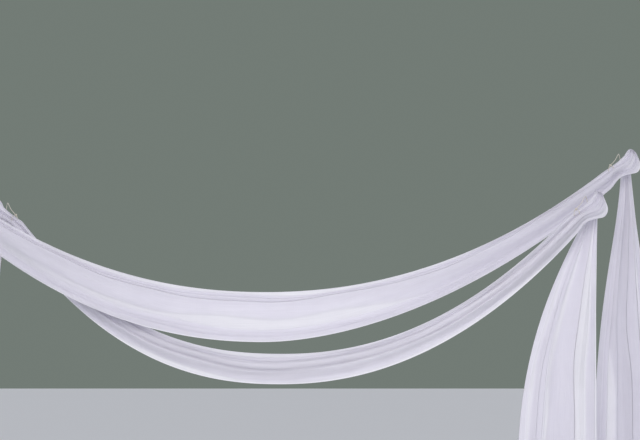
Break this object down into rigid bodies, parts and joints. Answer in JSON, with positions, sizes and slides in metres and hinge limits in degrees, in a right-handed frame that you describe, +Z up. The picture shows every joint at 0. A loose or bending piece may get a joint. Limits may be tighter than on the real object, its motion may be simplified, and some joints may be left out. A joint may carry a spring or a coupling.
{
  "type": "swagged wedding canopy drapery",
  "caption": "Wedding canopy of sheer white voile: gathered swags hung between branches, with tails that fall to the ground on both sides.",
  "frame": {"origin": "top of the branch that carries the lower length at its right end, where the cloth bears on it", "axes": "+Z up, +X along the swags to the right as seen from the front, -Y towards the front"},
  "size_m": [6.41, 0.6348, 3.001],
  "materials": {
    "voile": "sheer matte voile with a soft sheen",
    "hem": "double turned voile hem, machine stitched",
    "tie_cord": "twisted cotton cord"
  },
  "bodies": {
    "root": {"lower_left_crown": "voile", "lower_left_tail": "voile", "lower_left_hem": "hem", "lower_left_binding": "tie_cord", "lower_left_tie_cord": "tie_cord", "lower_left_knot": "tie_cord", "lower_right_crown": "voile", "lower_right_tail": "voile", "lower_right_hem": "hem", "lower_right_binding": "tie_cord", "lower_right_tie_cord": "tie_cord", "lower_right_knot": "tie_cord", "lower_swag": "voile", "upper_left_crown": "voile", "upper_left_tail": "voile", "upper_left_hem": "hem", "upper_left_binding": "tie_cord", "upper_left_tie_cord": "tie_cord", "upper_left_knot": "tie_cord", "upper_right_crown": "voile", "upper_right_tail": "voile", "upper_right_hem": "hem", "upper_right_binding": "tie_cord", "upper_right_tie_cord": "tie_cord", "upper_right_knot": "tie_cord", "upper_swag": "voile"}
  },
  "joints": []
}
